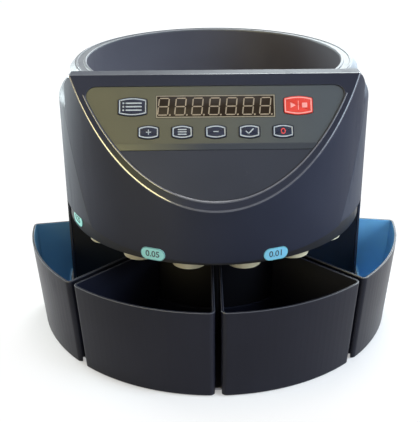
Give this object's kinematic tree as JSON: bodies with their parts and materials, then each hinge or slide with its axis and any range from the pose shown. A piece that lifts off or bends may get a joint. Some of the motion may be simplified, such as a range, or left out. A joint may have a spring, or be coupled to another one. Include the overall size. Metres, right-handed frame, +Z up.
{
  "type": "coin counting machine",
  "caption": "Round counter-top coin sorter with hopper, sloped key panel with digit display, and four pull-out coin cups",
  "frame": {"origin": "on the table under the middle of the box", "axes": "+X to the right of a person facing the panel, +Y to the back, +Z up"},
  "size_m": [0.3548, 0.3298, 0.2536],
  "materials": {
    "casing": "dark blue-grey fine satin",
    "casing_light": "grey satin",
    "cup_plastic": "dark charcoal satin",
    "overlay": "olive grey gloss",
    "trim": "dark grey gloss",
    "window": "tinted brown gloss",
    "display": "brown filter",
    "key_navy": "navy satin",
    "key_red": "red satin",
    "spout_cream": "cream satin",
    "label": "pale teal",
    "black_part": "black",
    "clear_cover": "smoked clear",
    "steel": "brushed",
    "aluminium": "satin",
    "dark_metal": "dark",
    "brass": "satin",
    "nylon": "natural",
    "disc_orange": "satin",
    "circuit": "green solder mask",
    "coil": "enamelled wire",
    "rubber": "matte"
  },
  "bodies": {
    "housing": {"base_plate": "dark_metal", "rubber_feet": "rubber", "base_screws": "steel", "front_column": "black_part", "rear_shell": "casing_light", "case_screws": "steel", "front_hood": "casing", "control_overlay": "overlay", "trim_strip": "overlay", "lower_trim": "trim", "display_window": "window", "display_module": "display", "control_board": "circuit", "key_switches": "black_part", "board_screws": "steel", "outlet_ring": "black_part", "coin_spouts": "spout_cream", "value_labels": "label", "deck_plate": "aluminium", "sorter_ring": "aluminium", "sorter_cover": "clear_cover", "coin_sensors": "black_part", "lower_posts": "steel", "upper_posts": "steel", "deck_screws": "steel", "bearing_block": "aluminium", "bearings": "steel", "motor_bracket": "steel", "drive_motor": "dark_metal", "motor_screws": "steel", "hinge_pin": "steel", "main_board": "circuit", "board_standoffs": "nylon", "board_parts": "black_part", "transformer": "dark_metal", "transformer_coil": "coil", "mains_inlet": "black_part", "inlet_pins": "brass", "switch_frame": "black_part", "fuse_holder": "black_part"},
    "hopper": {"hopper": "casing"},
    "coin_drive": {"coin_disc": "disc_orange", "disc_cap": "black_part", "disc_screw": "steel", "drive_shaft": "steel", "drive_gear": "nylon"},
    "motor_rotor": {"motor_shaft": "steel", "motor_pinion": "nylon"},
    "rocker": {"rocker_switch": "key_red"},
    "key_report": {"key_report": "key_navy"},
    "key_start": {"key_start": "key_red"},
    "key_plus": {"key_plus": "key_navy"},
    "key_batch": {"key_batch": "key_navy"},
    "key_minus": {"key_minus": "key_navy"},
    "key_set": {"key_set": "key_navy"},
    "key_clear": {"key_clear": "key_navy"},
    "cup_left": {"cup_left": "cup_plastic"},
    "cup_front_left": {"cup_front_left": "cup_plastic"},
    "cup_front_right": {"cup_front_right": "cup_plastic"},
    "cup_right": {"cup_right": "cup_plastic"}
  },
  "joints": [
    {"name": "hopper_tilt", "type": "hinge", "parent": "housing", "child": "hopper", "pos_m": [0, 0.1585, 0.233], "axis": [-1, 0, 0], "range_deg": [0, 75]},
    {"name": "disc_spin", "type": "hinge", "parent": "housing", "child": "coin_drive", "pos_m": [0, 0.0125, 0.15], "axis": [0, 0, 1], "continuous": true},
    {"name": "motor_spin", "type": "hinge", "parent": "housing", "child": "motor_rotor", "pos_m": [0, 0.05, 0.096], "axis": [0, 0, 1], "continuous": true},
    {"name": "rocker_tilt", "type": "hinge", "parent": "housing", "child": "rocker", "pos_m": [0.008, 0.1415, 0.034], "axis": [-1, 0, 0], "range_deg": [0, 18]},
    {"name": "press_report", "type": "slide", "parent": "housing", "child": "key_report", "axis": [0, 0.8095, -0.5871], "range_m": [0, 0.0006], "stiffness_N_per_m": 800},
    {"name": "press_start", "type": "slide", "parent": "housing", "child": "key_start", "axis": [0, 0.8095, -0.5871], "range_m": [0, 0.0006], "stiffness_N_per_m": 800},
    {"name": "press_plus", "type": "slide", "parent": "housing", "child": "key_plus", "axis": [0, 0.8095, -0.5871], "range_m": [0, 0.0006], "stiffness_N_per_m": 800},
    {"name": "press_batch", "type": "slide", "parent": "housing", "child": "key_batch", "axis": [0, 0.8095, -0.5871], "range_m": [0, 0.0006], "stiffness_N_per_m": 800},
    {"name": "press_minus", "type": "slide", "parent": "housing", "child": "key_minus", "axis": [0, 0.8095, -0.5871], "range_m": [0, 0.0006], "stiffness_N_per_m": 800},
    {"name": "press_set", "type": "slide", "parent": "housing", "child": "key_set", "axis": [0, 0.8095, -0.5871], "range_m": [0, 0.0006], "stiffness_N_per_m": 800},
    {"name": "press_clear", "type": "slide", "parent": "housing", "child": "key_clear", "axis": [0, 0.8095, -0.5871], "range_m": [0, 0.0006], "stiffness_N_per_m": 800},
    {"name": "pull_cup_left", "type": "slide", "parent": "housing", "child": "cup_left", "axis": [-0.9239, -0.3827, 0], "range_m": [0, 0.1]},
    {"name": "pull_cup_front_left", "type": "slide", "parent": "housing", "child": "cup_front_left", "axis": [-0.3827, -0.9239, 0], "range_m": [0, 0.1]},
    {"name": "pull_cup_front_right", "type": "slide", "parent": "housing", "child": "cup_front_right", "axis": [0.3827, -0.9239, 0], "range_m": [0, 0.1]},
    {"name": "pull_cup_right", "type": "slide", "parent": "housing", "child": "cup_right", "axis": [0.9239, -0.3827, 0], "range_m": [0, 0.1]}
  ],
  "couplings": [
    {"joint": "motor_spin", "follows": "disc_spin", "ratio": -2.3333}
  ]
}
